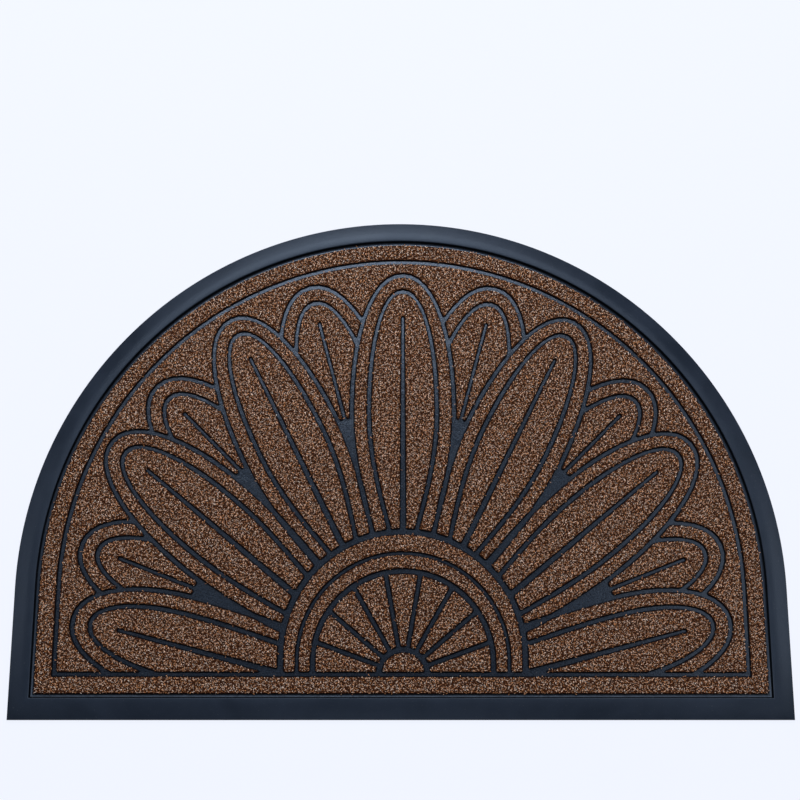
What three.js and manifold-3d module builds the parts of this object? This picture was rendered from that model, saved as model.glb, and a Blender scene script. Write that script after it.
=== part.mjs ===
// A half-moon doormat: a black rubber tray with a bevelled border, and short brown pile
// bonded to its floor in separate fields. The bare lines between the fields draw a
// half flower: a hub of arches and spokes, seven large petals and six small ones behind.
// Millimetres, +Z up, the straight edge towards -Y, z = 0 on the floor under the mat.
import * as THREE from 'three';
import { mergeVertices } from 'three/addons/utils/BufferGeometryUtils.js';
import Module from 'manifold-3d';

const wasm = await Module();
wasm.setup();

// Overall outline: a half disc standing on straight legs
const MAT_WIDTH = 900;
const MAT_DEPTH = 600;
const ARC_RADIUS = MAT_WIDTH / 2;
const ARC_CENTRE_Y = MAT_DEPTH / 2 - ARC_RADIUS;
const BASE_EDGE_Y = -MAT_DEPTH / 2;
const ARC_STEPS = 72;

// Rubber tray
const LIP_HEIGHT = 2.5; // plain outer edge
const BEVEL_RISE = 6; // the border climbs from the lip to the crown
const BEVEL_RUN = 17;
const BORDER_WIDTH = 24.5; // outer edge to the inner wall
const FLOOR_TOP = 3; // upper face of the rubber sheet
const CROWN_TOP = LIP_HEIGHT + BEVEL_RISE;

// Pile fields
const BOND_GAP = 0.3; // adhesive line between the floor and the pile
const PILE_BOTTOM = FLOOR_TOP + BOND_GAP;
const PILE_TOP = 8;
const PILE_INSET = 30; // outer edge to the outermost pile
const FRAME_INSET = 51; // outer edge to the middle of the frame line
const FRAME_LINE = 6.5;

// Hub of the flower, centred on the lower frame line: nested arches, from the outside in,
// whose lines are the bare rubber between the fields
const HUB_CENTRE = new THREE.Vector2(0, BASE_EDGE_Y + FRAME_INSET);
const HUB_ARCHES = [
  { halfWidth: 141, height: 164.8, line: 8.4 },
  { halfWidth: 122.3, height: 139.3, line: 5.6 },
  { halfWidth: 104, height: 118.5, line: 7.6 },
];
const [OUTER_ARCH, MIDDLE_ARCH, INNER_ARCH] = HUB_ARCHES;
const HUB_STEPS = 36;
const SPOKES = 8;
const SPOKE_LINE = 6.6;
const EYE_RADIUS = 24; // half disc of pile in the middle
const EYE_LINE = 8.2;
const EYE_STEPS = 32;

// Petals: tilt is measured from the mat's middle line, sink moves the axis sideways towards
// the straight edge, tipGap is the room between the petal's outer line and the frame line,
// half and rootHalf are its half-widths at the belly and at the hub. A small petal's blade
// begins at the share bladeStart of the way out to its tip, and below it is bare rubber.
const LARGE_PETALS = [
  { tilt: 0, sink: 0, tipGap: 17, half: 61.4, rootHalf: 36 },
  { tilt: 26.6, sink: -3, tipGap: 14, half: 61, rootHalf: 37.6 },
  { tilt: 50.5, sink: 9.4, tipGap: 16, half: 60, rootHalf: 45.4 },
  { tilt: 75.4, sink: 34.3, tipGap: 28.5, half: 57.8, rootHalf: 52.4 },
];
const SMALL_PETALS = [
  { tilt: 15, sink: -10.4, tipGap: 16, half: 65.4, rootHalf: 30, bladeStart: 0.645 },
  { tilt: 45, sink: -31.6, tipGap: 15, half: 62.8, rootHalf: 30, bladeStart: 0.68 },
  { tilt: 68.6, sink: -3, tipGap: 21.4, half: 59.4, rootHalf: 30, bladeStart: 0.65 },
];
const PETAL_BELLY = 0.46; // where the greatest width lies, from root to tip
const PETAL_BURIED = 0.6; // outlines start this far out to the hub's edge and are cut there
const PETAL_BURIED_HALF = 1; // least half-width there
const PETAL_BLUNTNESS = 2.15; // exponent of the rounded tip
const PETAL_LINE = 7;
const RIM_WIDTH = 20.6; // outer line to inner line
const VEIN_START = 54.5; // outer tip to where the vein's round end begins
const VEIN_TIP_LINE = 5.6;
const VEIN_ROOT_LINE = 9.6;
const SMALL_VEIN_START = 47.5;
const SMALL_VEIN_ROOT_LINE = 6.8;
const BELLY_STEPS = 7;
const TIP_STEPS = 11;
const VEIN_END_STEPS = 6;

const CUT_MARGIN = 5; // how far a cutter runs past what it cuts
const MERGE_DISTANCE = 1e-4;

const RUBBER = new THREE.MeshStandardMaterial({ name: 'rubber', color: 0x262d38, roughness: 0.6 });
const PILE = new THREE.MeshStandardMaterial({ name: 'brown pile', color: 0x6a4a38, roughness: 1 });

const radians = THREE.MathUtils.degToRad;

// A closed extrusion as a solid for joining and cutting
function toSolid(geometry) {
  geometry.deleteAttribute('normal');
  geometry.deleteAttribute('uv');
  const merged = mergeVertices(geometry, MERGE_DISTANCE);
  return new wasm.Manifold(new wasm.Mesh({
    numProp: 3,
    vertProperties: new Float32Array(merged.attributes.position.array),
    triVerts: new Uint32Array(merged.index.array),
  }));
}

function prism(shape, bottom, top, curveSegments = ARC_STEPS) {
  const geometry = new THREE.ExtrudeGeometry(shape, {
    depth: top - bottom,
    bevelEnabled: false,
    curveSegments,
  });
  geometry.translate(0, 0, bottom);
  return toSolid(geometry);
}

// A field of pile has the pile's own height, and what cuts it runs right through
const field = (shape, steps) => prism(shape, PILE_BOTTOM, PILE_TOP, steps);
const cutter = (shape, steps) => (
  prism(shape, PILE_BOTTOM - CUT_MARGIN, PILE_TOP + CUT_MARGIN, steps)
);

function toMesh(name, solid, material) {
  const { vertProperties, triVerts } = solid.getMesh();
  const geometry = new THREE.BufferGeometry();
  geometry.setAttribute('position', new THREE.BufferAttribute(vertProperties, 3));
  geometry.setIndex(new THREE.BufferAttribute(triVerts, 1));
  geometry.computeVertexNormals();
  const mesh = new THREE.Mesh(geometry, material);
  mesh.name = name;
  return mesh;
}

// The mat's outline, moved inwards by inset
function moonShape(inset) {
  const shape = new THREE.Shape();
  const radius = ARC_RADIUS - inset;
  shape.moveTo(-radius, BASE_EDGE_Y + inset);
  shape.lineTo(radius, BASE_EDGE_Y + inset);
  shape.lineTo(radius, ARC_CENTRE_Y);
  shape.absarc(0, ARC_CENTRE_Y, radius, 0, Math.PI, false);
  shape.closePath();
  return shape;
}

function rectangle(left, bottom, right, top) {
  return new THREE.Shape([
    new THREE.Vector2(left, bottom),
    new THREE.Vector2(right, bottom),
    new THREE.Vector2(right, top),
    new THREE.Vector2(left, top),
  ]);
}

// One arch of the hub, its legs carried below the base line so that they are cut there
function archShape(arch, grow) {
  const shape = new THREE.Shape();
  const radius = arch.halfWidth + grow;
  const springing = HUB_CENTRE.y + arch.height - arch.halfWidth;
  const foot = HUB_CENTRE.y - FRAME_INSET;
  shape.moveTo(-radius, foot);
  shape.lineTo(radius, foot);
  shape.lineTo(radius, springing);
  shape.absarc(0, springing, radius, 0, Math.PI, false);
  shape.closePath();
  return shape;
}

// Distance from the hub centre to the frame line, and to the outer arch, along a tilt
function frameReach(tilt) {
  const rise = ARC_CENTRE_Y - HUB_CENTRE.y;
  const radius = ARC_RADIUS - FRAME_INSET;
  const along = rise * Math.cos(radians(tilt));
  const across = rise * Math.sin(radians(tilt));
  return along + Math.sqrt(radius * radius - across * across);
}

function hubReach(tilt) {
  const { halfWidth, height } = OUTER_ARCH;
  const rise = height - halfWidth;
  const along = rise * Math.cos(radians(tilt));
  const across = rise * Math.sin(radians(tilt));
  return along + Math.sqrt(halfWidth * halfWidth - across * across);
}

// Sizes of one petal along its own axis, from the hub centre outwards
function petalSizes(row) {
  const tip = frameReach(row.tilt) - row.tipGap;
  const root = hubReach(row.tilt);
  const belly = root + PETAL_BELLY * (tip - root);
  return { ...row, tip, root, belly };
}

// Places a point given along and across a petal's axis on the mat
function onMat(petal, side, along, across) {
  const tilt = radians(petal.tilt);
  const out = new THREE.Vector2(Math.sin(tilt), Math.cos(tilt));
  const left = new THREE.Vector2(-Math.cos(tilt), Math.sin(tilt));
  const point = HUB_CENTRE.clone();
  point.addScaledVector(out, along);
  point.addScaledVector(left, across - petal.sink);
  point.x *= side;
  return point;
}

// A petal's outline moved inwards by inset: it swells from the hub to the belly on a sine,
// then closes over a blunt rounded tip
function petalShape(petal, side, inset) {
  const { root, belly, tip, half: bellyHalf, rootHalf } = petal;
  const edge = [];
  const buriedHalf = Math.max(PETAL_BURIED * rootHalf - inset, PETAL_BURIED_HALF);
  edge.push([PETAL_BURIED * root, buriedHalf]);
  for (let i = 0; i < BELLY_STEPS; i += 1) {
    const t = i / BELLY_STEPS;
    const swell = Math.sin((Math.PI / 2) * t);
    const width = rootHalf + (bellyHalf - rootHalf) * swell;
    edge.push([root + (belly - root) * t, width - inset]);
  }
  for (let i = 0; i < TIP_STEPS; i += 1) {
    const angle = (Math.PI / 2) * (i / TIP_STEPS);
    const along = Math.sin(angle) ** (2 / PETAL_BLUNTNESS);
    const across = Math.cos(angle) ** (2 / PETAL_BLUNTNESS);
    edge.push([belly + (tip - inset - belly) * along, (bellyHalf - inset) * across]);
  }
  const right = edge.map(([along, across]) => onMat(petal, side, along, -across));
  const left = edge.map(([along, across]) => onMat(petal, side, along, across)).reverse();
  const points = [...right, onMat(petal, side, tip - inset, 0), ...left];
  return new THREE.Shape(side > 0 ? points : points.reverse());
}

// The line along the middle of a blade: wider at the hub, with a round end near the tip
function veinShape(petal, side, start, rootLine) {
  const begin = PETAL_BURIED * petal.root;
  const end = petal.tip - start;
  const radius = VEIN_TIP_LINE / 2;
  const points = [onMat(petal, side, begin, -rootLine / 2)];
  for (let i = 0; i <= VEIN_END_STEPS; i += 1) {
    const angle = Math.PI * (i / VEIN_END_STEPS - 0.5);
    points.push(onMat(petal, side, end + radius * Math.cos(angle), radius * Math.sin(angle)));
  }
  points.push(onMat(petal, side, begin, rootLine / 2));
  return new THREE.Shape(side > 0 ? points : points.reverse());
}

// Everything nearer the hub than the start of a small blade, well past its own width
function wedgeShape(petal, side) {
  const end = petal.tip * petal.bladeStart;
  const reach = petal.half * 2;
  const points = [
    onMat(petal, side, 0, -reach),
    onMat(petal, side, end, -reach),
    onMat(petal, side, end, reach),
    onMat(petal, side, 0, reach),
  ];
  return new THREE.Shape(side > 0 ? points : points.reverse());
}

const mat = new THREE.Group();
mat.name = 'half_moon_doormat';
const place = (name, solid, material) => mat.add(toMesh(name, solid, material));

// Rubber tray: the outline raised with a mitred bevel, levelled underneath, then hollowed
const blank = new THREE.ExtrudeGeometry(moonShape(0), {
  depth: LIP_HEIGHT,
  bevelEnabled: true,
  bevelThickness: BEVEL_RISE,
  bevelSize: BEVEL_RUN,
  bevelOffset: -BEVEL_RUN,
  bevelSegments: 1,
  curveSegments: ARC_STEPS,
});
const below = rectangle(-MAT_WIDTH, -MAT_DEPTH, MAT_WIDTH, MAT_DEPTH);
const tray = toSolid(blank)
  .subtract(prism(below, -BEVEL_RISE - CUT_MARGIN, 0))
  .subtract(prism(moonShape(BORDER_WIDTH), FLOOR_TOP, CROWN_TOP + CUT_MARGIN));
place('rubber_base', tray, RUBBER);

// Cutters shared by the fields
const halfLine = PETAL_LINE / 2;
const belowFrame = cutter(rectangle(
  -MAT_WIDTH,
  BASE_EDGE_Y - FRAME_INSET,
  MAT_WIDTH,
  HUB_CENTRE.y + FRAME_LINE / 2,
));
const hub = cutter(archShape(OUTER_ARCH, OUTER_ARCH.line / 2), HUB_STEPS);

// Each petal once in the middle or once on either side
function placed(rows) {
  return rows.flatMap((row) => {
    const sizes = petalSizes(row);
    const sides = row.tilt === 0 ? [1] : [1, -1];
    return sides.map((side) => ({ sizes, side, outline: petalShape(sizes, side, -halfLine) }));
  });
}

const large = placed(LARGE_PETALS);
const small = placed(SMALL_PETALS);
const join = (solids) => solids.reduce((sum, solid) => sum.add(solid));
const largeOutlines = join(large.map(({ outline }) => cutter(outline)));
const smallOutlines = join(small.map(({ outline }) => cutter(outline)));

// Frame band outside the frame line
place('pile_frame', field(moonShape(PILE_INSET))
  .subtract(cutter(moonShape(FRAME_INSET - FRAME_LINE / 2))), PILE);

// Ground between the frame line and the petals
place('pile_ground', field(moonShape(FRAME_INSET + FRAME_LINE / 2))
  .subtract(largeOutlines)
  .subtract(smallOutlines)
  .subtract(hub), PILE);

// Large petals: a rim and a veined blade, and where two rims meet each keeps to its own half
large.forEach(({ sizes, side }, index) => {
  const others = join(large.filter((_, i) => i !== index).map(({ outline }) => cutter(outline)));
  const trim = (solid) => solid.subtract(hub).subtract(belowFrame);
  const rim = field(petalShape(sizes, side, halfLine))
    .subtract(cutter(petalShape(sizes, side, RIM_WIDTH - halfLine)))
    .subtract(others);
  const blade = field(petalShape(sizes, side, RIM_WIDTH + halfLine))
    .subtract(cutter(veinShape(sizes, side, VEIN_START, VEIN_ROOT_LINE)));
  place(`large_petal_${index + 1}_rim`, trim(rim), PILE);
  place(`large_petal_${index + 1}_blade`, trim(blade), PILE);
});

// Small petals show between the large ones, and their blades stop short of the hub
small.forEach(({ sizes, side }, index) => {
  const trim = (solid) => solid.subtract(largeOutlines).subtract(cutter(wedgeShape(sizes, side)));
  const rim = field(petalShape(sizes, side, halfLine))
    .subtract(cutter(petalShape(sizes, side, RIM_WIDTH - halfLine)));
  const blade = field(petalShape(sizes, side, RIM_WIDTH + halfLine))
    .subtract(cutter(veinShape(sizes, side, SMALL_VEIN_START, SMALL_VEIN_ROOT_LINE)));
  place(`small_petal_${index + 1}_rim`, trim(rim), PILE);
  place(`small_petal_${index + 1}_blade`, trim(blade), PILE);
});

// Hub: two arched bands
[[OUTER_ARCH, MIDDLE_ARCH], [MIDDLE_ARCH, INNER_ARCH]].forEach(([outside, inside], index) => {
  const band = field(archShape(outside, -outside.line / 2), HUB_STEPS)
    .subtract(cutter(archShape(inside, inside.line / 2), HUB_STEPS))
    .subtract(belowFrame);
  place(`hub_band_${index + 1}`, band, PILE);
});

// Hub: sectors between the spokes, and the half disc they run to
function disc(radius) {
  const shape = new THREE.Shape();
  shape.absarc(HUB_CENTRE.x, HUB_CENTRE.y, radius, 0, 2 * Math.PI, false);
  return shape;
}

function sectorShape(index) {
  const step = Math.PI / (SPOKES + 1);
  const reach = 2 * INNER_ARCH.height;
  const low = index * step;
  const high = low + step;
  const shift = SPOKE_LINE / 2 / Math.sin(step / 2);
  const start = HUB_CENTRE.clone();
  start.x += shift * Math.cos(low + step / 2);
  start.y += shift * Math.sin(low + step / 2);
  return new THREE.Shape([
    start,
    new THREE.Vector2(start.x + reach * Math.cos(low), start.y + reach * Math.sin(low)),
    new THREE.Vector2(start.x + reach * Math.cos(high), start.y + reach * Math.sin(high)),
  ]);
}

const hubInside = cutter(archShape(INNER_ARCH, -INNER_ARCH.line / 2), HUB_STEPS);
const eyeRing = cutter(disc(EYE_RADIUS + EYE_LINE), EYE_STEPS);
for (let i = 0; i <= SPOKES; i += 1) {
  const sector = field(sectorShape(i)).intersect(hubInside).subtract(eyeRing);
  place(`hub_sector_${i + 1}`, sector, PILE);
}
place('hub_eye', field(disc(EYE_RADIUS), EYE_STEPS).subtract(belowFrame), PILE);

export default mat;
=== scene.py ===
# %% [markdown]
# # A half-round doormat of rubber and bristle pile
# The mat is a moulded rubber tray with a bevelled border. Brown bristles stand in it in fields, and
# bare rubber lines between the fields draw half a flower. The CAD frame gives the outline of every
# field and the size of the whole. Blender adds what the solids leave out: rounded rubber, the felt
# that holds the bristles, and the bristles themselves.

# %% Load the frame
import math

import bmesh
import bpy
import numpy as np
from mathutils import Matrix, Vector
from mathutils.bvhtree import BVHTree
from mathutils.kdtree import KDTree


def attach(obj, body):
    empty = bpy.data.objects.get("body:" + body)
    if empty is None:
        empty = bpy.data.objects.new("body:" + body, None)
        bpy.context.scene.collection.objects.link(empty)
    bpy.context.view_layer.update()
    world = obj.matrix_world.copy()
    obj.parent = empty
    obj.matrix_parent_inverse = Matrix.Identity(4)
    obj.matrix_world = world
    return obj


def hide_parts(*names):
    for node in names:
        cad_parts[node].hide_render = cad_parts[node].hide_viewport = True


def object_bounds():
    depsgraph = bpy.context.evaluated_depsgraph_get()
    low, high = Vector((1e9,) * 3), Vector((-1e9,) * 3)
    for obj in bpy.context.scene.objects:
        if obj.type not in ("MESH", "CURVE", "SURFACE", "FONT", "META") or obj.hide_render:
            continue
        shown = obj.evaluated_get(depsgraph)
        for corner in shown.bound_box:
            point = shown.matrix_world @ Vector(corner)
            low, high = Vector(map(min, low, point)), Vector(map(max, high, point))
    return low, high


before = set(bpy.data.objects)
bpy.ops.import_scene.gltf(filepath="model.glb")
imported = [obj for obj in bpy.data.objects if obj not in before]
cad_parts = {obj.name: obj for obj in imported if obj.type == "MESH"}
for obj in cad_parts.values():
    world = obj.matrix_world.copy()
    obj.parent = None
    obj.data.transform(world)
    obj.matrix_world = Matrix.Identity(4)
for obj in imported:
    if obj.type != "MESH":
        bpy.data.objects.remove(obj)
cad_box = [list(corner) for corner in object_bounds()]
MM = 0.001
print("CAD box in metres:", cad_box)

# %% [markdown]
# ## The camera
# The photo looks down steeply on a mat that lies flat, from above its straight edge. A camera placed
# by eye never lines up a whole pattern, so its place and its three angles were fitted to the mat's
# outline and to the lines of the flower. The script works out the camera's axes from those angles and
# writes them into its matrix. A lens of 63 mm on a 36 mm sensor gives the photo's mild perspective.

# %% Camera
PITCH = math.radians(76.45)  # below level
ROLL = math.radians(5.28)  # anticlockwise, seen from behind the camera
HEADING = math.radians(5.15)  # from +Y towards +X
CAMERA_PLACE = Vector((-0.0389, -0.3176, 1.6398))
LENS = 63.0
SENSOR = 36.0

forward = Vector((
    math.sin(HEADING) * math.cos(PITCH),
    math.cos(HEADING) * math.cos(PITCH),
    -math.sin(PITCH),
))
level_right = forward.cross(Vector((0, 0, 1))).normalized()
level_up = level_right.cross(forward)
right = math.cos(ROLL) * level_right + math.sin(ROLL) * level_up
up = math.cos(ROLL) * level_up - math.sin(ROLL) * level_right
turned = Matrix((right, up, -forward)).transposed().to_4x4()

camera = bpy.data.objects.new("camera", bpy.data.cameras.new("camera"))
camera.data.lens = LENS
camera.data.sensor_width = SENSOR
camera.matrix_world = Matrix.Translation(CAMERA_PLACE) @ turned
bpy.context.scene.collection.objects.link(camera)
bpy.context.scene.camera = camera
print("camera looks along", [round(x, 3) for x in forward])

# %% [markdown]
# ## A pale floor
# The mat lies on a white floor that shows no shading at all. White paint would show where each light
# falls off, so this paint is dark and glows by itself, a little bluish, which keeps it even. The
# floor is one large square just below the mat, and it isn't part of the mat.

# %% Floor
FLOOR_HALF = 15.0
FLOOR_DROP = 0.5 * MM


def add_object(name, bm):
    """Makes a mesh object from a bmesh, at the origin, and frees the bmesh."""
    mesh = bpy.data.meshes.new(name)
    bm.to_mesh(mesh)
    bm.free()
    made = bpy.data.objects.new(name, mesh)
    bpy.context.scene.collection.objects.link(made)
    return made


floor_bm = bmesh.new()
bmesh.ops.create_grid(floor_bm, x_segments=1, y_segments=1, size=FLOOR_HALF)
bmesh.ops.translate(floor_bm, verts=floor_bm.verts, vec=(0, 0, -FLOOR_DROP))
floor = add_object("floor", floor_bm)

floor_paint = bpy.data.materials.new("floor_paint")
floor_paint.use_nodes = True
paint = floor_paint.node_tree.nodes["Principled BSDF"]
paint.inputs["Base Color"].default_value = (0.05, 0.0525, 0.055, 1)
paint.inputs["Roughness"].default_value = 0.9
paint.inputs["Specular IOR Level"].default_value = 0.1
paint.inputs["Emission Color"].default_value = (0.872, 0.904, 1.0, 1)
paint.inputs["Emission Strength"].default_value = 0.94
floor.data.materials.append(floor_paint)
print("floor reaches", FLOOR_HALF, "metres each way")

# %% [markdown]
# ## Studio light
# The photo is a product shot: soft light, hardly a shadow, and a cool cast. A plain white world would
# light all of the mat alike, but the flat rubber far from the camera mirrors something bright, and
# the rubber near the front mirrors nothing. So seven soft panels light it. The large one at the back
# is what the far lines mirror, a weak one stands in front, three hang above, and one stands at each
# side. The world is dim, and pale only where the camera sees it.

# %% Light panels and world
PANEL_COLOUR = (0.96, 0.98, 1.0)
PANELS = [  # name, place, the point it faces, width and height, all in metres, and watts
    ("back_panel", (-0.20, 1.84, 2.02), (-0.20, 0.2, 0.0), (1.5, 2.15), 97.0),
    ("front_panel", (0.0, -1.9, 2.0), (0.0, -0.3, 0.0), (1.8, 0.9), 10.0),
    ("top_panel", (0.0, 0.30, 2.8), (0.0, 0.30, 0.0), (1.3, 1.1), 1.5),
    ("top_left_panel", (-0.90, 0.45, 2.8), (-0.90, 0.45, 0.0), (0.6, 0.8), 2.0),
    ("top_right_panel", (1.32, 0.42, 2.8), (1.32, 0.42, 0.0), (1.0, 1.3), 9.0),
    ("left_panel", (-2.4, -0.1, 1.6), (0.0, 0.0, 0.0), (1.6, 1.2), 15.0),
    ("right_panel", (2.4, -0.1, 1.6), (0.0, 0.0, 0.0), (1.6, 1.2), 25.0),
]
DIM_WORLD = (0.11, 0.12, 0.13)
SEEN_WORLD = (0.88, 0.93, 1.0)


def add_panel(name, place, faced, size, watts):
    """A soft rectangular light at place that faces a point, unseen by the camera."""
    light = bpy.data.lights.new(name, "AREA")
    light.shape = "RECTANGLE"
    light.size, light.size_y = size
    light.energy = watts
    light.color = PANEL_COLOUR
    panel = bpy.data.objects.new(name, light)
    panel.location = place
    panel.rotation_euler = (Vector(faced) - Vector(place)).to_track_quat("-Z", "Y").to_euler()
    panel.visible_camera = False
    bpy.context.scene.collection.objects.link(panel)


for panel in PANELS:
    add_panel(*panel)

world = bpy.data.worlds.new("studio")
bpy.context.scene.world = world
world.use_nodes = True
air = world.node_tree
seen_by = air.nodes.new("ShaderNodeLightPath")
pick = air.nodes.new("ShaderNodeMix")
pick.data_type = "RGBA"
pick.inputs["A"].default_value = (*DIM_WORLD, 1)
pick.inputs["B"].default_value = (*SEEN_WORLD, 1)
air.links.new(seen_by.outputs["Is Camera Ray"], pick.inputs["Factor"])
air.links.new(pick.outputs["Result"], air.nodes["Background"].inputs["Color"])
bpy.context.scene.view_settings.view_transform = "Standard"

# %% [markdown]
# ## What the rubbers share
# Moulded rubber is never one flat black. It carries a fine grain from the mould, cloudy patches where
# its surface has bloomed or been handled, and specks of lint. Each material could have noises of its
# own, but they would be the same three every time. So one shader node group makes them as masks from
# 0 to 1, and each rubber uses these with its own sizes and strengths. Each mask is a noise with part
# of its values stretched over 0 to 1: the middle ones for the grain and the clouds, and only the
# highest for the lint, which stays sparse.

# %% Node helpers
def add_node(tree, kind, **settings):
    """Adds a node of that kind and sets the named properties on it."""
    node = tree.nodes.new(kind)
    for name, value in settings.items():
        setattr(node, name, value)
    return node


def group_socket(group, name, direction, value=None):
    """Adds a number socket to a node group, with a default value if there is one."""
    socket = group.interface.new_socket(name=name, in_out=direction, socket_type="NodeSocketFloat")
    if value is not None:
        socket.default_value = value


print("node helpers ready")

# %% The moulded rubber group
moulded = bpy.data.node_groups.new("moulded_rubber", "ShaderNodeTree")
group_socket(moulded, "Grain Scale", "INPUT", 900.0)
group_socket(moulded, "Cloud Scale", "INPUT", 14.0)
group_socket(moulded, "Grain", "OUTPUT")
group_socket(moulded, "Clouds", "OUTPUT")
group_socket(moulded, "Lint", "OUTPUT")
entry = add_node(moulded, "NodeGroupInput")
leave = add_node(moulded, "NodeGroupOutput")
where = add_node(moulded, "ShaderNodeTexCoord")


def noise_mask(mask, low, high, **settings):
    """Adds a noise whose values from low to high become the group's output of that name."""
    noise = add_node(moulded, "ShaderNodeTexNoise")
    for socket, value in settings.items():
        noise.inputs[socket].default_value = value
    moulded.links.new(where.outputs["Object"], noise.inputs["Vector"])
    stretch = add_node(moulded, "ShaderNodeMapRange")
    stretch.inputs["From Min"].default_value = low
    stretch.inputs["From Max"].default_value = high
    moulded.links.new(noise.outputs["Fac"], stretch.inputs["Value"])
    moulded.links.new(stretch.outputs["Result"], leave.inputs[mask])
    return noise


grain = noise_mask("Grain", 0.34, 0.66, Detail=3.0, Roughness=0.6)
clouds = noise_mask("Clouds", 0.32, 0.68, Detail=6.0, Roughness=0.62, Distortion=0.6)
noise_mask("Lint", 0.70, 0.80, Detail=1.0, Scale=700.0)
moulded.links.new(entry.outputs["Grain Scale"], grain.inputs["Scale"])
moulded.links.new(entry.outputs["Cloud Scale"], clouds.inputs["Scale"])
print("group outputs:", [s.name for s in moulded.interface.items_tree if s.in_out == "OUTPUT"])

# %% [markdown]
# ## The three rubber finishes
# The tray is one compound with three finishes. The border is matt and blue-black, and faintly cloudy.
# The lines between the fields look as if a polished tool had pressed them: they are smooth, a little
# uneven, and carry lint from the bristles. Where the rubber climbs the side of a field it is dull, and
# its near-black colour is painted shade for that recess. Only values differ, so one function makes all
# three. The two colours are mixed by the clouds or, on the lines, by the grain.

# %% A rubber material
COOL_SHEEN = (0.62, 0.77, 1.0)  # tint of what the rubber mirrors


def rubber_material(
    name, dark, pale, tint_by, rough, specular, grain_scale, grain_depth, waves, lint_colour, cloud_scale,
):
    """A rubber of two colours that the mask tint_by mixes. Its roughness runs over the pair rough, and
    waves is the depth of its slow unevenness."""
    material = bpy.data.materials.new(name)
    material.use_nodes = True
    tree = material.node_tree
    shader = tree.nodes["Principled BSDF"]
    shader.inputs["IOR"].default_value = 1.5
    shader.inputs["Specular IOR Level"].default_value = specular
    shader.inputs["Specular Tint"].default_value = (*COOL_SHEEN, 1)
    look = add_node(tree, "ShaderNodeGroup", node_tree=moulded)
    look.inputs["Grain Scale"].default_value = grain_scale
    look.inputs["Cloud Scale"].default_value = cloud_scale
    tint = add_node(tree, "ShaderNodeMix", data_type="RGBA")
    tint.inputs["A"].default_value = (*dark, 1)
    tint.inputs["B"].default_value = (*pale, 1)
    tree.links.new(look.outputs[tint_by], tint.inputs["Factor"])
    dusted = add_node(tree, "ShaderNodeMix", data_type="RGBA")
    dusted.inputs["B"].default_value = (*lint_colour, 1)
    tree.links.new(tint.outputs["Result"], dusted.inputs["A"])
    tree.links.new(look.outputs["Lint"], dusted.inputs["Factor"])
    tree.links.new(dusted.outputs["Result"], shader.inputs["Base Color"])
    gloss = add_node(tree, "ShaderNodeMapRange")
    gloss.inputs["To Min"].default_value, gloss.inputs["To Max"].default_value = rough
    tree.links.new(look.outputs["Clouds"], gloss.inputs["Value"])
    tree.links.new(gloss.outputs["Result"], shader.inputs["Roughness"])
    uneven = add_node(tree, "ShaderNodeBump")
    uneven.inputs["Distance"].default_value = waves
    tree.links.new(look.outputs["Clouds"], uneven.inputs["Height"])
    grained = add_node(tree, "ShaderNodeBump")
    grained.inputs["Strength"].default_value = 0.5
    grained.inputs["Distance"].default_value = grain_depth
    tree.links.new(look.outputs["Grain"], grained.inputs["Height"])
    tree.links.new(uneven.outputs["Normal"], grained.inputs["Normal"])
    tree.links.new(grained.outputs["Normal"], shader.inputs["Normal"])
    return material


print("what a rubber mirrors is tinted", COOL_SHEEN)

# %% Border, line and foot rubber
border_rubber = rubber_material(
    "border_rubber",
    dark=(0.0058, 0.0088, 0.0156),
    pale=(0.0096, 0.0138, 0.0236),
    tint_by="Clouds",
    rough=(0.34, 0.44),
    specular=0.25,
    grain_scale=900.0,
    grain_depth=0.12 * MM,
    waves=0.02 * MM,
    lint_colour=(0.030, 0.034, 0.042),
    cloud_scale=16.0,
)
line_rubber = rubber_material(
    "line_rubber",
    dark=(0.0010, 0.0016, 0.0034),
    pale=(0.0110, 0.0155, 0.0250),
    tint_by="Grain",
    rough=(0.15, 0.21),
    specular=0.365,
    grain_scale=620.0,
    grain_depth=0.10 * MM,
    waves=0.20 * MM,
    lint_colour=(0.070, 0.062, 0.058),
    cloud_scale=30.0,
)
# painted shade: near-black, faintly mirroring rubber for the feet of the fields and the border's inner wall
foot_shade_rubber = rubber_material(
    "foot_shade_rubber",
    dark=(0.0006, 0.0009, 0.0016),
    pale=(0.0016, 0.0022, 0.0036),
    tint_by="Clouds",
    rough=(0.70, 0.80),
    specular=0.06,
    grain_scale=900.0,
    grain_depth=0.05 * MM,
    waves=0.02 * MM,
    lint_colour=(0.030, 0.026, 0.024),
    cloud_scale=30.0,
)
print("rubbers:", border_rubber.name, line_rubber.name, foot_shade_rubber.name)

# %% [markdown]
# ## The outlines of the pile fields
# Each field of pile is a CAD node with a flat top. Seen from above, the rim of that top is the
# field's outline, so a merged copy of the node gives it without drawing anything again. Pressed pile
# never keeps a knife-sharp corner, so each corner is replaced by a short curve that leaves one side
# and meets the next.

# %% Round the corners of an outline
CORNER_TURN = math.radians(28)  # a bend of less than this stays as it is
CORNER_ROUND = 2.2 * MM
CORNER_SHARE = 0.45  # most of a side that a rounded corner may take
CORNER_STEPS = 5


def rounded(points):
    """The closed outline with every corner that turns sharply made a short curve."""
    smooth = []
    for i, here in enumerate(points):
        before = here - points[i - 1]
        after = points[(i + 1) % len(points)] - here
        if before.angle(after) < CORNER_TURN:
            smooth.append(here)
            continue
        start = here - before.normalized() * min(CORNER_ROUND, CORNER_SHARE * before.length)
        end = here + after.normalized() * min(CORNER_ROUND, CORNER_SHARE * after.length)
        for t in np.linspace(0, 1, CORNER_STEPS):
            smooth.append(start.lerp(here, t).lerp(here.lerp(end, t), t))
    return smooth


print("corners rounded by", CORNER_ROUND / MM, "mm")

# %% Field outlines
PILE_NODES = sorted(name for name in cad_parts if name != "rubber_base")
SAME_POINT = 0.01 * MM
BELOW_TOP = 0.1 * MM


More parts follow.
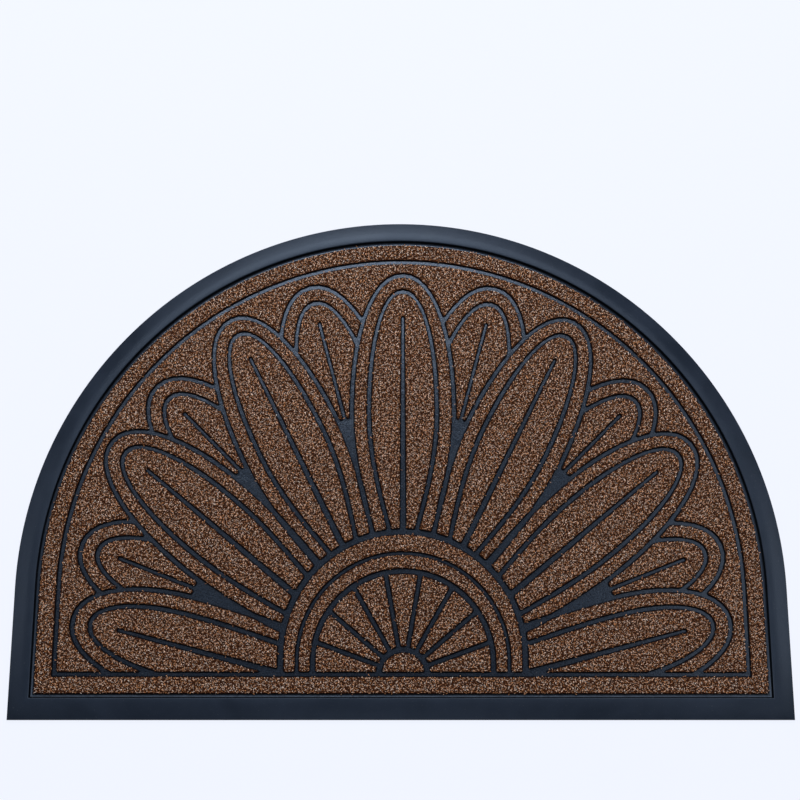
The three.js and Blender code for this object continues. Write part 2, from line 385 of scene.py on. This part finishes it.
def outline_points(node):
    """The rounded outlines of a field's top, each with the field on its left hand."""
    bm = bmesh.new()
    bm.from_mesh(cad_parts[node].data)
    bmesh.ops.remove_doubles(bm, verts=bm.verts, dist=SAME_POINT)
    top = max(v.co.z for v in bm.verts)
    under = [f for f in bm.faces if f.calc_center_median().z < top - BELOW_TOP]
    bmesh.ops.delete(bm, geom=under, context="FACES")
    following = {}
    for loop in (e.link_loops[0] for e in bm.edges if e.is_boundary):
        following[loop.vert] = loop.link_loop_next.vert
    found = []
    for first in [v for v in bm.verts if v in following]:
        points = []
        here = first
        while here in following:
            points.append(Vector((here.co.x, here.co.y, 0)))
            here = following.pop(here)
        if points:
            found.append(rounded(points))
    bm.free()
    return found


def outer_first(wires):
    """Outlines sorted so that the widest, which goes round the others, comes first."""
    return sorted(wires, key=lambda points: min(p.x for p in points))


outlines = {node: outer_first(outline_points(node)) for node in PILE_NODES}
print(len(PILE_NODES), "fields,", sum(len(o) for o in outlines.values()), "outlines")

# %% [markdown]
# ## The rubber tray
# The real tray comes out of one mould: a sheet with a border that slopes up from a thin lip, a narrow
# flat crown, and an upright inner wall with a hollow foot. Its section is the same all the way round,
# so a D-shaped outline is extruded rim by rim, and each new rim is moved inwards and up or down.
# Moving the front corners along both axes keeps them mitred.

# %% Outline of the tray
MAT_WIDTH = 900 * MM
MAT_DEPTH = 600 * MM
ARC_RADIUS = MAT_WIDTH / 2
ARC_CENTRE_Y = MAT_DEPTH / 2 - ARC_RADIUS
FRONT_EDGE_Y = -MAT_DEPTH / 2
ARC_STEPS = 120

tray_bm = bmesh.new()
start = tray_bm.verts.new((ARC_RADIUS, ARC_CENTRE_Y, 0))
swung = bmesh.ops.spin(
    tray_bm, geom=[start], cent=(0, ARC_CENTRE_Y, 0), axis=(0, 0, 1), angle=math.pi, steps=ARC_STEPS,
    use_merge=False, use_duplicate=False,
)
end = next(v for v in swung["geom_last"] if isinstance(v, bmesh.types.BMVert))
front_right = tray_bm.verts.new((ARC_RADIUS, FRONT_EDGE_Y, 0))
front_left = tray_bm.verts.new((-ARC_RADIUS, FRONT_EDGE_Y, 0))
for pair in ((end, front_left), (front_left, front_right), (front_right, start)):
    tray_bm.edges.new(pair)
print("outline edges:", len(tray_bm.edges))

# %% Border of the tray
BORDER_SECTION = [  # rim, its inset from the outer edge and its height, both in mm
    ("underside", 0.0, 0.0),
    ("lip", 0.0, 2.5),
    ("outer crown", 17.0, 8.5),
    ("inner crown", 24.5, 8.5),
    ("wall foot", 24.5, 6.0),
    ("upper hollow", 24.9, 4.7),
    ("lower hollow", 25.8, 3.6),
    ("floor", 27.4, 3.0),
]

rims = {"underside": list(tray_bm.edges)}
bands = {}  # the faces that end at each rim
bmesh.ops.edgeloop_fill(tray_bm, edges=rims["underside"])
for (rim, inset, height), (next_rim, next_inset, next_height) in zip(BORDER_SECTION, BORDER_SECTION[1:]):
    grown = bmesh.ops.extrude_edge_only(tray_bm, edges=rims[rim])["geom"]
    rims[next_rim] = [e for e in grown if isinstance(e, bmesh.types.BMEdge)]
    bands[next_rim] = [f for f in grown if isinstance(f, bmesh.types.BMFace)]
    for v in [v for v in grown if isinstance(v, bmesh.types.BMVert)]:
        inward = Vector((0, ARC_CENTRE_Y, v.co.z)) - v.co
        if v.co.y < ARC_CENTRE_Y - MM:
            inward = Vector((-math.copysign(1, v.co.x), 1, 0))
        else:
            inward.normalize()
        v.co += inward * (next_inset - inset) * MM + Vector((0, 0, (next_height - height) * MM))
print("border faces before rounding:", len(tray_bm.faces))

# %% [markdown]
# A mould leaves no sharp outer edge on rubber: the lip, both sides of the crown and the foot of the
# wall are round. The foot is already drawn with short steps. The other three rims get an edge bevel
# of a few segments, wide and soft where the slope turns into the crown, and tight on the lip and
# along the inner side of the crown.

# %% Round the rims of the border
ROUNDED_RIMS = {"lip": 0.7, "outer crown": 4.0, "inner crown": 0.9}  # reach of the rounding in mm
ROUND_SEGMENTS = 4

for rim, rounding in ROUNDED_RIMS.items():
    bmesh.ops.bevel(
        tray_bm, geom=rims[rim], offset=rounding * MM, offset_type="OFFSET", segments=ROUND_SEGMENTS,
        profile=0.5, affect="EDGES", material=-1, clamp_overlap=True,
    )
border_faces = set(tray_bm.faces)
print("border faces after rounding:", len(border_faces))

# %% [markdown]
# ## The lines between the fields
# The lines of the flower are grooves in which the bare rubber shows. Where rubber meets a field of
# pile it climbs the side a little, in a hollow curve. This foot is dull, and painted near black as
# the shade in that recess, which is why the photo's lines have a black edge. A bevel can't follow it,
# since floor and field aren't one mesh. So each outline is drawn again further out and lower, and
# bridged to the one before, down to the flat floor.

# %% Helpers that draw and fill outlines
LEAST_COSINE = 0.6  # keeps the point of a sharp corner from running far out


def draw_wire(bm, points, height):
    """Draws a closed wire through the points at that height and returns its edges."""
    verts = [bm.verts.new((p.x, p.y, height)) for p in points]
    return [bm.edges.new((verts[i - 1], verts[i])) for i in range(len(verts))]


def moved_out(points, distance):
    """The outline moved away from its field by a distance, with the field on its left hand."""
    moved = []
    for i, here in enumerate(points):
        before = (here - points[i - 1]).normalized()
        after = (points[(i + 1) % len(points)] - here).normalized()
        middle = (before + after).normalized()
        cosine = max(LEAST_COSINE, middle.dot(before))
        moved.append(here + Vector((middle.y, -middle.x, 0)) * distance / cosine)
    return moved


def fill(bm, edges):
    """Fills between flat closed outlines and returns the new faces."""
    made = bmesh.ops.triangle_fill(bm, use_beauty=True, use_dissolve=False, edges=edges, normal=(0, 0, 1))
    return [f for f in made["geom"] if isinstance(f, bmesh.types.BMFace)]


print("outline points:", sum(len(points) for wires in outlines.values() for points in wires))

# %% Floor and fillets
FLOOR_TOP = 3.0 * MM
FILLET = [  # distance from the field and height, both in mm
    (0.05, 4.20),
    (0.21, 3.68),
    (0.50, 3.34),
    (0.93, 3.11),
    (1.50, 3.00),
]

web_edges = []
floor_faces = []
for node in PILE_NODES:
    under_edges = []
    for number, points in enumerate(outlines[node]):
        foot = draw_wire(tray_bm, moved_out(points, FILLET[0][0] * MM), FLOOR_TOP)
        under_edges += foot
        for distance, height in FILLET:
            step = draw_wire(tray_bm, moved_out(points, distance * MM), height * MM)
            bmesh.ops.bridge_loops(tray_bm, edges=foot + step)
            foot = step
        if node == "pile_frame" and number == 0:
            floor_faces += fill(tray_bm, rims["floor"] + foot)
        else:
            web_edges += foot
    floor_faces += fill(tray_bm, under_edges)
floor_faces += fill(tray_bm, web_edges)
print("floor faces:", len(floor_faces), "tray faces:", len(tray_bm.faces))

# %% [markdown]
# ## Which face gets which finish
# A mesh can hold several materials, and each face carries the number of the one it shows. The flat
# floor gets the smooth finish and the border the matt one. The feet along the fields, the border's
# inner wall and the upper part of the hollow at its foot get the dull one, painted near black as
# shade, because the photo shows them black. The floor is shaded flat, so that it mirrors as a plane,
# and the rest is shaded smooth, except across sharp edges.

# %% Finish the tray
FINISHES = [border_rubber, line_rubber, foot_shade_rubber]
BORDER, LINE, FOOT = range(len(FINISHES))
# bands of the border's hollow foot that get the dull finish with its painted shade
DULL_SHADED_BANDS = ("upper hollow", "lower hollow")
WALL_LOW = 5.0 * MM
WALL_SLANT = 0.1  # most that the normal of an upright face may rise
SHARP = math.radians(50)

bmesh.ops.recalc_face_normals(tray_bm, faces=tray_bm.faces)
flat_faces = set(floor_faces)
dull_shaded_faces = set().union(*(bands[name] for name in DULL_SHADED_BANDS))
for f in tray_bm.faces:
    f.smooth = f not in flat_faces
    is_wall = abs(f.normal.z) < WALL_SLANT and f.calc_center_median().z > WALL_LOW
    if f in flat_faces:
        f.material_index = LINE
    elif f in border_faces and f not in dull_shaded_faces and not is_wall:
        f.material_index = BORDER
    else:
        f.material_index = FOOT
for e in tray_bm.edges:
    e.smooth = len(e.link_faces) == 2 and e.calc_face_angle(0) < SHARP
open_edges = sum(1 for e in tray_bm.edges if len(e.link_faces) != 2)
tray = add_object("rubber_tray", tray_bm)
for finish in FINISHES:
    tray.data.materials.append(finish)
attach(tray, "root")
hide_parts("rubber_base")
print("tray:", len(tray.data.polygons), "faces, open edges:", open_edges)

# %% [markdown]
# ## The felt that holds the bristles
# Under the bristles lies a dense felt of the same fibres, bonded to the rubber. It shows only as the
# dark ground between them and along the sides of the lines. It is one flat sheet, pressed apart where
# the lines come through, so each field's outline is filled and extruded to a low slab. Each face also
# keeps the number of its field, which later tells in which field a bristle stands.

# %% Felt bed
BED_BOTTOM = 3.3 * MM
BED_TOP = 5.6 * MM
FACES_UP = 0.5  # least rise of the normal of a face on top

bed_bm = bmesh.new()
field_number = bed_bm.faces.layers.int.new("field")
for number, node in enumerate(PILE_NODES):
    wires = [e for points in outlines[node] for e in draw_wire(bed_bm, points, BED_BOTTOM)]
    flat = fill(bed_bm, wires)
    for f in flat:
        f[field_number] = number
    raised = bmesh.ops.extrude_face_region(bed_bm, geom=flat, use_keep_orig=True)
    lifted = [v for v in raised["geom"] if isinstance(v, bmesh.types.BMVert)]
    bmesh.ops.translate(bed_bm, verts=lifted, vec=(0, 0, BED_TOP - BED_BOTTOM))
bmesh.ops.recalc_face_normals(bed_bm, faces=bed_bm.faces)
bed_bm.faces.ensure_lookup_table()
bed_tree = BVHTree.FromBMesh(bed_bm)
bed_fields = [f[field_number] for f in bed_bm.faces]
bed_area = sum(f.calc_area() for f in bed_bm.faces if f.normal.z > FACES_UP)
bed_open = sum(1 for e in bed_bm.edges if len(e.link_faces) != 2)
bed = add_object("pile_bed", bed_bm)
print("felt bed:", len(bed.data.polygons), "faces, open edges:", bed_open)
print("felt area:", round(bed_area, 4), "square metres")

# %% [markdown]
# ## Heathered brown
# The yarn is spun from fibres dyed in several browns, so each bristle has its own shade, from near
# black to a pale greyish tan. Felt and bristles share these browns, so one node group turns a shade
# number from 0 to 1 into a brown by a colour ramp.

# %% Heather group
HEATHER = [  # shade and colour
    (0.00, (0.022, 0.006, 0.002)),
    (0.25, (0.195, 0.062, 0.018)),
    (0.50, (0.515, 0.218, 0.080)),
    (0.75, (0.640, 0.418, 0.300)),
    (1.00, (0.690, 0.622, 0.575)),
]

heather = bpy.data.node_groups.new("heather", "ShaderNodeTree")
group_socket(heather, "Shade", "INPUT", 0.5)
heather.interface.new_socket(name="Brown", in_out="OUTPUT", socket_type="NodeSocketColor")
shade_in = add_node(heather, "NodeGroupInput")
brown_out = add_node(heather, "NodeGroupOutput")
ramp = add_node(heather, "ShaderNodeValToRGB")
stops = ramp.color_ramp.elements
for i, (place, colour) in enumerate(HEATHER):
    stop = stops[i] if i < 2 else stops.new(place)  # a new ramp already has two stops
    stop.position = place
    stop.color = (*colour, 1)
heather.links.new(shade_in.outputs["Shade"], ramp.inputs["Fac"])
heather.links.new(ramp.outputs["Color"], brown_out.inputs["Brown"])
print("heather shades:", len(HEATHER))

# %% [markdown]
# ## Bristle fibre
# The fibre is a stiff plastic with a soft sheen, bright at the tip and lost in its neighbours' shade
# at the root. A noise can't give each bristle one shade of its own. So each has one small spot on a
# UV map, in which U is its shade and V runs from root to tip. V also darkens the lower part: this is
# painted shade, deeper than the short pile's own shadow would make it.

# %% Bristle material
BRISTLE_MAP = "OFBake"

bristle_fibre = bpy.data.materials.new("bristle_fibre")
bristle_fibre.use_nodes = True
tree = bristle_fibre.node_tree
fibre = tree.nodes["Principled BSDF"]
fibre.inputs["Roughness"].default_value = 0.42
fibre.inputs["Specular IOR Level"].default_value = 0.25
uv = add_node(tree, "ShaderNodeUVMap", uv_map=BRISTLE_MAP)
parts = add_node(tree, "ShaderNodeSeparateXYZ")
brown = add_node(tree, "ShaderNodeGroup", node_tree=heather)
# painted shade: the brown fades to near black towards each bristle's root
depth = add_node(tree, "ShaderNodeMapRange")
depth.inputs["From Min"].default_value = 0.30
depth.inputs["From Max"].default_value = 0.72
depth.inputs["To Min"].default_value = 0.01
shaded = add_node(tree, "ShaderNodeMix", data_type="RGBA", blend_type="MULTIPLY")
shaded.inputs["Factor"].default_value = 1.0
tree.links.new(uv.outputs["UV"], parts.inputs["Vector"])
tree.links.new(parts.outputs["X"], brown.inputs["Shade"])
tree.links.new(parts.outputs["Y"], depth.inputs["Value"])
tree.links.new(brown.outputs["Brown"], shaded.inputs["A"])
tree.links.new(depth.outputs["Result"], shaded.inputs["B"])
tree.links.new(shaded.outputs["Result"], fibre.inputs["Base Color"])
print("bristle nodes:", len(tree.nodes))

# %% [markdown]
# ## Felt
# The felt is the same fibre matted flat, and it lies in the bristles' shade, which is painted into it:
# it takes only the darkest few of the browns. A fine noise picks among them, and as a bump it also
# gives the felt its nap. It needs no map, because nothing on it follows a direction.

# %% Felt material
felt = bpy.data.materials.new("felt")
felt.use_nodes = True
tree = felt.node_tree
matt = tree.nodes["Principled BSDF"]
matt.inputs["Roughness"].default_value = 0.95
matt.inputs["Specular IOR Level"].default_value = 0.1
on_felt = add_node(tree, "ShaderNodeTexCoord")
matted = add_node(tree, "ShaderNodeTexNoise")
matted.inputs["Scale"].default_value = 650.0
matted.inputs["Detail"].default_value = 4.0
# painted shade: the noise picks only among the darkest browns
darkest = add_node(tree, "ShaderNodeMapRange")
darkest.inputs["From Min"].default_value = 0.35
darkest.inputs["From Max"].default_value = 0.75
darkest.inputs["To Max"].default_value = 0.04
felt_brown = add_node(tree, "ShaderNodeGroup", node_tree=heather)
nap = add_node(tree, "ShaderNodeBump")
nap.inputs["Distance"].default_value = 0.6 * MM
tree.links.new(on_felt.outputs["Object"], matted.inputs["Vector"])
tree.links.new(matted.outputs["Fac"], darkest.inputs["Value"])
tree.links.new(darkest.outputs["Result"], felt_brown.inputs["Shade"])
tree.links.new(felt_brown.outputs["Brown"], matt.inputs["Base Color"])
tree.links.new(matted.outputs["Fac"], nap.inputs["Height"])
tree.links.new(nap.outputs["Normal"], matt.inputs["Normal"])
bed.data.materials.append(felt)
print("felt nodes:", len(tree.nodes))

# %% [markdown]
# ## Where the bristles stand
# Real bristles are stiff, under a millimetre wide, and lean every way, but hardly any lean over a
# line. Hair curves could do that, but every piece has to end as a mesh. So roots are laid on a
# jittered grid, and a ray cast down onto the felt tells which field each stands in. The random
# numbers have a fixed seed, so every run gives the same mat.

# %% Roots
GRID = 1.35 * MM
ROOT = BED_TOP - 0.3 * MM  # a little inside the felt
RAY_HEIGHT = 0.05
SEED = 20
rng = np.random.default_rng(SEED)


def field_under(x, y):
    """The number of the field under each point, or -1 over a line."""
    down = Vector((0, 0, -1))
    found = np.full(len(x), -1)
    for i in range(len(x)):
        face = bed_tree.ray_cast(Vector((x[i], y[i], RAY_HEIGHT)), down)[2]
        if face is not None:
            found[i] = bed_fields[face]
    return found


box_low, box_high = (np.array(corner) for corner in cad_box)
columns, rows = (int((box_high[i] - box_low[i]) / GRID) for i in (0, 1))
column, row = (grid.ravel() for grid in np.meshgrid(np.arange(columns), np.arange(rows)))
root_x = box_low[0] + (column + rng.uniform(0, 1, column.size)) * GRID
root_y = box_low[1] + (row + rng.uniform(0, 1, row.size)) * GRID
field = field_under(root_x, root_y)
inside = field >= 0
root_x, root_y, field, column, row = (values[inside] for values in (root_x, root_y, field, column, row))
count = len(field)
print(count, "of", inside.size, "grid cells hold a bristle")

# %% [markdown]
# ## How the bristles lean
# Each bristle leans its own way by its own angle, and ends at its own height. The nearest point of an
# outline, found with a k-d tree, tells how much room there is before the line. A lean that needs more
# is pushed back, so that the tip stays near the edge of its field. One bristle in fifty may stray
# further out, as a few do in the photo.

# %% Lean of the bristles
TIP_LOW = 6.5 * MM
TIP_HIGH = 8.0 * MM
LEAN_LOW = math.radians(30)
LEAN_HIGH = math.radians(62)
EDGE_ROOM = (-0.3 * MM, 0.8 * MM)  # least and greatest distance that tips keep inside the edge
STRAY_SHARE = 0.02
STRAY_REACH = 2.0 * MM
MARK_SPACING = 0.4 * MM
LEAST_ROOM = 0.01 * MM  # keeps a root on the very edge from dividing by nothing


def way_to_edge(x, y):
    """The vector from each point to the nearest outline of a field."""
    marks = []
    for points in (p for wires in outlines.values() for p in wires):
        for i, here in enumerate(points):
            pieces = 1 + int((here - points[i - 1]).length / MARK_SPACING)
            marks += [points[i - 1].lerp(here, t / pieces) for t in range(pieces)]
    nearest = KDTree(len(marks))
    for i, mark in enumerate(marks):
        nearest.insert(mark, i)
    nearest.balance()
    edges = np.array([nearest.find((x[i], y[i], 0))[0] for i in range(len(x))])
    return edges[:, :2] - np.stack([x, y], 1)


rise = rng.uniform(TIP_LOW, TIP_HIGH, count) - ROOT
turn = rng.uniform(0, 2 * np.pi, count)
reach = rise * np.tan(rng.uniform(LEAN_LOW, LEAN_HIGH, count))
lean = np.stack([np.cos(turn), np.sin(turn)], 1) * reach[:, None]

outward = way_to_edge(root_x, root_y)
room = np.linalg.norm(outward, axis=1)
outward /= np.maximum(room, LEAST_ROOM)[:, None]
stray = rng.uniform(0, 1, count) < STRAY_SHARE
spare = np.where(stray, -STRAY_REACH, rng.uniform(*EDGE_ROOM, count))
excess = np.sum(lean * outward, axis=1) - room + spare
lean -= outward * np.maximum(excess, 0)[:, None]
print(int((excess > 0).sum()), "bristles pushed back from an edge")

# %% [markdown]
# ## A shade for each bristle
# Left to chance, dark bristles would gather here and there and the pile would look blotchy, while the
# real mix is even. So shades are dealt out like cards: in each block of two by two grid cells, every
# cell gets another one of four bands, from dark to pale, and chance only picks the order and the
# shade within the band. Bristles close to the edge of their field are made darker, as they look along
# the lines in the photo: painted shade where the field drops to a line.

# %% Shades and widths
SHADE_BANDS = np.array([(0.01, 0.12), (0.26, 0.52), (0.52, 0.76), (0.76, 0.97)])  # lowest and highest
BLOCK = 2  # grid cells along each side of a block
EDGE_BAND = 1.0 * MM
# painted shade: share of its brown that a bristle on the very edge of its field keeps
EDGE_PAINTED_SHADE = 0.6
BLADE_WIDTH = 0.64 * MM
WIDTH_SPREAD = (0.75, 1.25)
TWIST = 0.7  # most that a blade is turned about its length, in radians

block_rows, block_columns = rows // BLOCK + 1, columns // BLOCK + 1
order = np.tile(np.arange(len(SHADE_BANDS)), (block_rows * block_columns, 1))
blocks = rng.permuted(order, axis=1)
block = (row // BLOCK) * block_columns + column // BLOCK
band = blocks[block, (row % BLOCK) * BLOCK + column % BLOCK]
shade = rng.uniform(SHADE_BANDS[band, 0], SHADE_BANDS[band, 1])
# painted shade: bristles within EDGE_BAND of a field's edge are darkened
shade *= EDGE_PAINTED_SHADE + (1 - EDGE_PAINTED_SHADE) * np.minimum(room / EDGE_BAND, 1)
width = BLADE_WIDTH * rng.uniform(*WIDTH_SPREAD, count)
twist = rng.uniform(-TWIST, TWIST, count)
print("bristles in each band:", np.bincount(band))

# %% [markdown]
# ## Bristles as joined meshes
# A hundred and fifty thousand bristles as separate objects would choke Blender, and so would an
# operator call for each. So each group of fields is one mesh, filled from arrays. A bristle is a slim
# closed wedge of five faces: a flat blade with a chisel tip, three sides below it that meet in a
# point under the root, and a small face that closes the root.

# %% Points of the bristles
BLADE_DEPTH = 0.6 * MM
TIP_SHARE = 0.95  # width at the tip over width at the root


def unit(vectors):
    """The vectors, row by row, made one long."""
    return vectors / np.linalg.norm(vectors, axis=1)[:, None]


def bristle_places(chosen):
    """The five points of each chosen bristle."""
    n = len(chosen)
    root = np.stack([root_x[chosen], root_y[chosen], np.full(n, ROOT)], 1)
    along = np.stack([lean[chosen, 0], lean[chosen, 1], rise[chosen]], 1)
    tip = root + along
    along = unit(along)
    across = np.stack([-np.sin(turn[chosen]), np.cos(turn[chosen]), np.zeros(n)], 1)
    across = unit(across - along * np.sum(across * along, axis=1)[:, None])
    out = np.cross(along, across)
    c, s = np.cos(twist[chosen])[:, None], np.sin(twist[chosen])[:, None]
    across, out = c * across + s * out, c * out - s * across
    half = across * width[chosen, None] / 2
    places = np.stack([
        root - half,
        root + half,
        root - out * BLADE_DEPTH,
        tip - half * TIP_SHARE,
        tip + half * TIP_SHARE,
    ], 1)
    places[:, :, 2] = np.minimum(places[:, :, 2], TIP_HIGH)
    return places


print("blades are", BLADE_WIDTH / MM, "mm wide and", BLADE_DEPTH / MM, "mm deep")

# %% One mesh of bristles
WEDGE_POINTS = 5  # root left, right and under, tip left and right
WEDGE_FACES = [(0, 3, 4, 1), (1, 4, 2), (3, 0, 2), (4, 3, 2), (0, 1, 2)]
WEDGE_TRIANGLES = 6
MAP_WIDTH = 0.003
MAP_ROOT, MAP_TIP = 0.02, 0.98

wedge_corners = np.concatenate(WEDGE_FACES)
wedge_starts = np.cumsum([0] + [len(corners) for corners in WEDGE_FACES[:-1]])


def bristle_spots(chosen):
    """The places of each bristle's five points on the map, U its shade and V its height."""
    u, side = shade[chosen], MAP_WIDTH / 2
    return np.stack([
        np.stack([u - side, u + side, u, u - side, u + side], 1),
        np.tile([MAP_ROOT, MAP_ROOT, MAP_ROOT, MAP_TIP, MAP_TIP], (len(chosen), 1)),
    ], 2)


def bristle_mesh(name, chosen):
    """One mesh of all the chosen bristles, with their map."""
    number = np.arange(len(chosen))[:, None]
    corners = (number * WEDGE_POINTS + wedge_corners).ravel()
    starts = (number * len(wedge_corners) + wedge_starts).ravel()
    spots = bristle_spots(chosen).reshape(-1, 2)[corners]
    mesh = bpy.data.meshes.new(name)
    mesh.vertices.add(len(chosen) * WEDGE_POINTS)
    mesh.vertices.foreach_set("co", bristle_places(chosen).astype(np.float32).ravel())
    mesh.loops.add(len(corners))
    mesh.loops.foreach_set("vertex_index", corners.astype(np.int32))
    mesh.polygons.add(len(starts))
    mesh.polygons.foreach_set("loop_start", starts.astype(np.int32))
    mesh.update(calc_edges=True)
    layer = mesh.uv_layers.new(name=BRISTLE_MAP)
    layer.uv.foreach_set("vector", spots.astype(np.float32).ravel())
    mesh.materials.append(bristle_fibre)
    return mesh


print("a bristle has", len(WEDGE_FACES), "faces and", WEDGE_TRIANGLES, "triangles")

# %% [markdown]
# ## The bristles of the fields
# One mesh of all the bristles would be too heavy to handle, and one for each field would make forty
# pieces. Fields of the same kind go together instead. The seven groups keep every piece under two
# hundred thousand triangles, and each stands for its own CAD nodes.

# %% Bristle pieces
LARGE_PETALS = range(1, 8)
UPPER_PETALS = range(1, 4)
LOWER_PETALS = range(4, 8)
SMALL_PETALS = range(1, 7)
BRISTLE_GROUPS = {
    "bristles_frame": ["pile_frame"],
    "bristles_ground": ["pile_ground"],
    "bristles_upper_blades": [f"large_petal_{i}_blade" for i in UPPER_PETALS],
    "bristles_lower_blades": [f"large_petal_{i}_blade" for i in LOWER_PETALS],
    "bristles_large_rims": [f"large_petal_{i}_rim" for i in LARGE_PETALS],
    "bristles_small_petals": [f"small_petal_{i}_{part}" for i in SMALL_PETALS for part in ("rim", "blade")],
    "bristles_hub": [node for node in PILE_NODES if node.startswith("hub_")],
}

for name, nodes in BRISTLE_GROUPS.items():
    wanted = [PILE_NODES.index(node) for node in nodes]
    chosen = np.flatnonzero(np.isin(field, wanted))
    piece = bpy.data.objects.new(name, bristle_mesh(name, chosen))
    bpy.context.scene.collection.objects.link(piece)
    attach(piece, "root")
    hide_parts(*nodes)
    print(name, len(chosen), "bristles,", len(chosen) * WEDGE_TRIANGLES, "triangles")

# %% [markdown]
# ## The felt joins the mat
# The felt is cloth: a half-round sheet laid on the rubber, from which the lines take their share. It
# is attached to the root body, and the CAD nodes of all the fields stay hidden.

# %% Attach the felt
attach(bed, "root")
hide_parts(*PILE_NODES)
